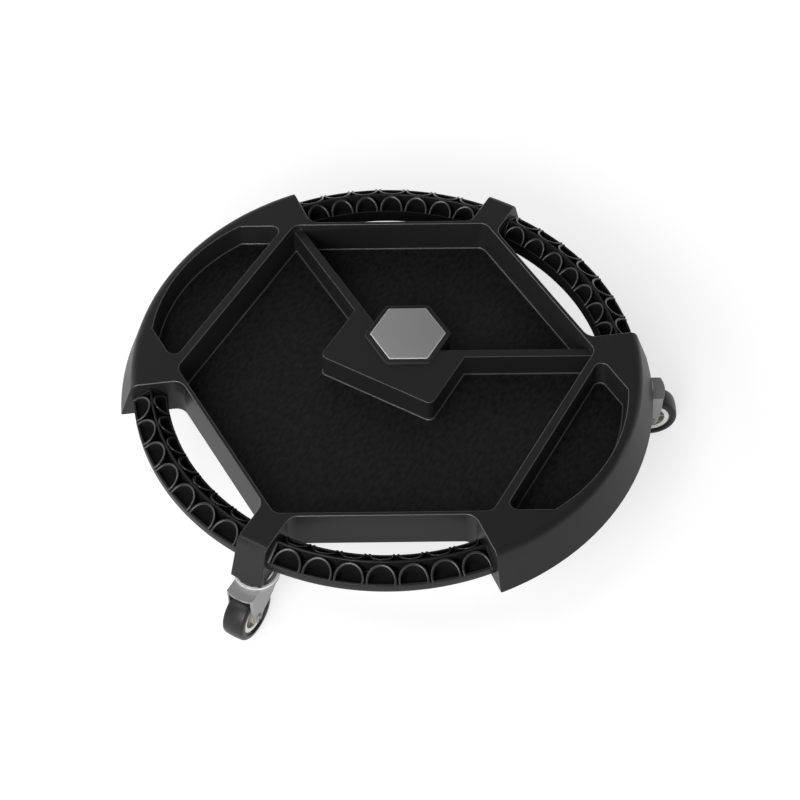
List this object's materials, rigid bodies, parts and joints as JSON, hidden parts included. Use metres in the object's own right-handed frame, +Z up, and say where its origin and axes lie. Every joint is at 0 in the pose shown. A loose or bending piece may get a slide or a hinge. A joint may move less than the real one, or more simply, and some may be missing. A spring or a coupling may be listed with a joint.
{
  "type": "rolling tool tray",
  "caption": "Round low rolling tool tray: hexagonal basin with dividers, side trays, tread-patterned rails and swivel casters, for tools beside a mechanic.",
  "frame": {"origin": "on the tray's axis at floor level, under the centre of the hexagonal basin", "axes": "+Z up; the side trays lie on +X and -X, the arms on +Y and -Y, and the arm with a caster on -Y"},
  "size_m": [0.492, 0.52, 0.107],
  "materials": {
    "shell_plastic": "fine satin moulded black",
    "rail_plastic": "satin moulded black",
    "badge_metal": "satin grey, bright bevelled edge",
    "zinc_steel": "zinc plated pressed steel",
    "bearing_steel": "polished",
    "brass": "machined",
    "wheel_plastic": "white moulded",
    "tyre_rubber": "smooth dark grey"
  },
  "bodies": {
    "tray": {"tray_shell": "shell_plastic", "badge_plate": "badge_metal", "tread_rail_rear_right": "rail_plastic", "tread_rail_rear_left": "rail_plastic", "tread_rail_front_left": "rail_plastic", "tread_rail_front_right": "rail_plastic", "front_caster_stem_insert": "brass", "front_caster_kingpin": "zinc_steel", "front_caster_upper_race": "zinc_steel", "front_caster_ball_ring": "bearing_steel", "front_caster_lower_race": "zinc_steel", "right_caster_stem_insert": "brass", "right_caster_kingpin": "zinc_steel", "right_caster_upper_race": "zinc_steel", "right_caster_ball_ring": "bearing_steel", "right_caster_lower_race": "zinc_steel", "left_caster_stem_insert": "brass", "left_caster_kingpin": "zinc_steel", "left_caster_upper_race": "zinc_steel", "left_caster_ball_ring": "bearing_steel", "left_caster_lower_race": "zinc_steel"},
    "front_swivel": {"front_caster_fork": "zinc_steel", "front_caster_axle_rivet": "zinc_steel", "front_caster_rivet_collar": "zinc_steel", "front_caster_axle_sleeve": "zinc_steel"},
    "front_wheel": {"front_caster_wheel_core": "wheel_plastic", "front_caster_tyre": "tyre_rubber"},
    "right_swivel": {"right_caster_fork": "zinc_steel", "right_caster_axle_rivet": "zinc_steel", "right_caster_rivet_collar": "zinc_steel", "right_caster_axle_sleeve": "zinc_steel"},
    "right_wheel": {"right_caster_wheel_core": "wheel_plastic", "right_caster_tyre": "tyre_rubber"},
    "left_swivel": {"left_caster_fork": "zinc_steel", "left_caster_axle_rivet": "zinc_steel", "left_caster_rivet_collar": "zinc_steel", "left_caster_axle_sleeve": "zinc_steel"},
    "left_wheel": {"left_caster_wheel_core": "wheel_plastic", "left_caster_tyre": "tyre_rubber"}
  },
  "joints": [
    {"name": "front_caster_swivel", "type": "hinge", "parent": "tray", "child": "front_swivel", "pos_m": [0, -0.228, 0.059], "axis": [0, 0, 1], "continuous": true},
    {"name": "front_wheel_spin", "type": "hinge", "parent": "front_swivel", "child": "front_wheel", "pos_m": [0, -0.249, 0.025], "axis": [1, 0, 0], "continuous": true},
    {"name": "right_caster_swivel", "type": "hinge", "parent": "tray", "child": "right_swivel", "pos_m": [0.19745, 0.114, 0.059], "axis": [0, 0, 1], "continuous": true},
    {"name": "right_wheel_spin", "type": "hinge", "parent": "right_swivel", "child": "right_wheel", "pos_m": [0.21564, 0.1245, 0.025], "axis": [-0.5, 0.866, 0], "continuous": true},
    {"name": "left_caster_swivel", "type": "hinge", "parent": "tray", "child": "left_swivel", "pos_m": [-0.19745, 0.114, 0.059], "axis": [0, 0, 1], "continuous": true},
    {"name": "left_wheel_spin", "type": "hinge", "parent": "left_swivel", "child": "left_wheel", "pos_m": [-0.21564, 0.1245, 0.025], "axis": [-0.5, -0.866, 0], "continuous": true}
  ]
}
